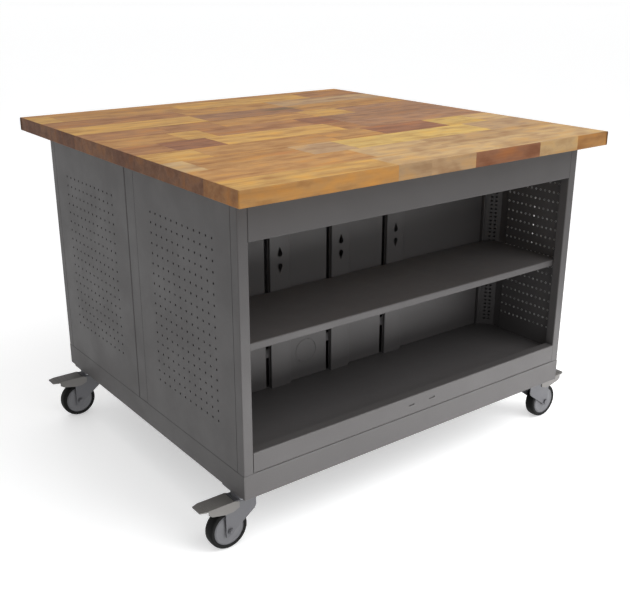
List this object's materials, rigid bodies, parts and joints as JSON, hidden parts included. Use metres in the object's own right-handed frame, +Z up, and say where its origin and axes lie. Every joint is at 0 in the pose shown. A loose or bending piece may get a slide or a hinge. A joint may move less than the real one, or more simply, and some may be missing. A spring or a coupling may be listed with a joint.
{
  "type": "mobile workbench",
  "caption": "Mobile island workbench: wood top on back-to-back open-shelf steel cabinets with perforated sides, a plinth and braked swivel casters.",
  "frame": {"origin": "on the floor, under the middle of the bounding box", "axes": "+X to the right along the open front, +Y from the front to the rear, +Z up"},
  "size_m": [1.342, 1.233, 0.924],
  "materials": {
    "butcher_block": "clear oil",
    "grey_powder_coat": "satin fine texture",
    "caster_paint": "satin",
    "zinc_plated_steel": "satin",
    "hub_nylon": "matte",
    "tyre_rubber": "matte"
  },
  "bodies": {
    "bench": {"back_panel_front": "grey_powder_coat", "back_panel_rear": "grey_powder_coat", "bottom_rail_front": "grey_powder_coat", "bottom_rail_rear": "grey_powder_coat", "caster_bolts": "zinc_plated_steel", "caster_front_left_plate": "caster_paint", "caster_front_right_plate": "caster_paint", "caster_rear_left_plate": "caster_paint", "caster_rear_right_plate": "caster_paint", "centre_strip_left": "grey_powder_coat", "centre_strip_right": "grey_powder_coat", "floor_pan_front": "grey_powder_coat", "floor_pan_rear": "grey_powder_coat", "hanger_channels_front": "grey_powder_coat", "hanger_channels_rear": "grey_powder_coat", "header_rail_front": "grey_powder_coat", "header_rail_rear": "grey_powder_coat", "middle_shelf_front": "grey_powder_coat", "middle_shelf_rear": "grey_powder_coat", "plinth_front": "grey_powder_coat", "plinth_left": "grey_powder_coat", "plinth_rear": "grey_powder_coat", "plinth_right": "grey_powder_coat", "shelf_clips_front": "zinc_plated_steel", "shelf_clips_rear": "zinc_plated_steel", "shelf_upright_front_left": "grey_powder_coat", "shelf_upright_front_right": "grey_powder_coat", "shelf_upright_rear_left": "grey_powder_coat", "shelf_upright_rear_right": "grey_powder_coat", "side_liner_front_left": "grey_powder_coat", "side_liner_front_right": "grey_powder_coat", "side_liner_rear_left": "grey_powder_coat", "side_liner_rear_right": "grey_powder_coat", "side_panel_front_left": "grey_powder_coat", "side_panel_front_right": "grey_powder_coat", "side_panel_rear_left": "grey_powder_coat", "side_panel_rear_right": "grey_powder_coat", "top_screws": "zinc_plated_steel", "top_slab_front": "butcher_block", "top_slab_rear": "butcher_block"},
    "swivel_front_left": {"caster_front_left_fork": "caster_paint", "caster_front_left_axle": "caster_paint"},
    "wheel_front_left": {"caster_front_left_hub": "hub_nylon", "caster_front_left_tyre": "tyre_rubber"},
    "brake_front_left": {"caster_front_left_pedal": "caster_paint"},
    "swivel_front_right": {"caster_front_right_fork": "caster_paint", "caster_front_right_axle": "caster_paint"},
    "wheel_front_right": {"caster_front_right_hub": "hub_nylon", "caster_front_right_tyre": "tyre_rubber"},
    "brake_front_right": {"caster_front_right_pedal": "caster_paint"},
    "swivel_rear_left": {"caster_rear_left_fork": "caster_paint", "caster_rear_left_axle": "caster_paint"},
    "wheel_rear_left": {"caster_rear_left_hub": "hub_nylon", "caster_rear_left_tyre": "tyre_rubber"},
    "brake_rear_left": {"caster_rear_left_pedal": "caster_paint"},
    "swivel_rear_right": {"caster_rear_right_fork": "caster_paint", "caster_rear_right_axle": "caster_paint"},
    "wheel_rear_right": {"caster_rear_right_hub": "hub_nylon", "caster_rear_right_tyre": "tyre_rubber"},
    "brake_rear_right": {"caster_rear_right_pedal": "caster_paint"}
  },
  "joints": [
    {"name": "swivel_front_left", "type": "hinge", "parent": "bench", "child": "swivel_front_left", "pos_m": [-0.541, -0.4835, 0.13], "axis": [0, 0, 1], "continuous": true},
    {"name": "wheel_front_left", "type": "hinge", "parent": "swivel_front_left", "child": "wheel_front_left", "pos_m": [-0.589, -0.4835, 0.0535], "axis": [0, -1, 0], "continuous": true},
    {"name": "brake_front_left", "type": "hinge", "parent": "swivel_front_left", "child": "brake_front_left", "pos_m": [-0.571, -0.4835, 0.12], "axis": [0, -1, 0], "range_deg": [0, 6.5]},
    {"name": "swivel_front_right", "type": "hinge", "parent": "bench", "child": "swivel_front_right", "pos_m": [0.541, -0.4835, 0.13], "axis": [0, 0, 1], "continuous": true},
    {"name": "wheel_front_right", "type": "hinge", "parent": "swivel_front_right", "child": "wheel_front_right", "pos_m": [0.589, -0.4835, 0.0535], "axis": [0, 1, 0], "continuous": true},
    {"name": "brake_front_right", "type": "hinge", "parent": "swivel_front_right", "child": "brake_front_right", "pos_m": [0.571, -0.4835, 0.12], "axis": [0, 1, 0], "range_deg": [0, 6.5]},
    {"name": "swivel_rear_left", "type": "hinge", "parent": "bench", "child": "swivel_rear_left", "pos_m": [-0.541, 0.4155, 0.13], "axis": [0, 0, 1], "continuous": true},
    {"name": "wheel_rear_left", "type": "hinge", "parent": "swivel_rear_left", "child": "wheel_rear_left", "pos_m": [-0.589, 0.4155, 0.0535], "axis": [0, -1, 0], "continuous": true},
    {"name": "brake_rear_left", "type": "hinge", "parent": "swivel_rear_left", "child": "brake_rear_left", "pos_m": [-0.571, 0.4155, 0.12], "axis": [0, -1, 0], "range_deg": [0, 6.5]},
    {"name": "swivel_rear_right", "type": "hinge", "parent": "bench", "child": "swivel_rear_right", "pos_m": [0.541, 0.4155, 0.13], "axis": [0, 0, 1], "continuous": true},
    {"name": "wheel_rear_right", "type": "hinge", "parent": "swivel_rear_right", "child": "wheel_rear_right", "pos_m": [0.589, 0.4155, 0.0535], "axis": [0, 1, 0], "continuous": true},
    {"name": "brake_rear_right", "type": "hinge", "parent": "swivel_rear_right", "child": "brake_rear_right", "pos_m": [0.571, 0.4155, 0.12], "axis": [0, 1, 0], "range_deg": [0, 6.5]}
  ]
}
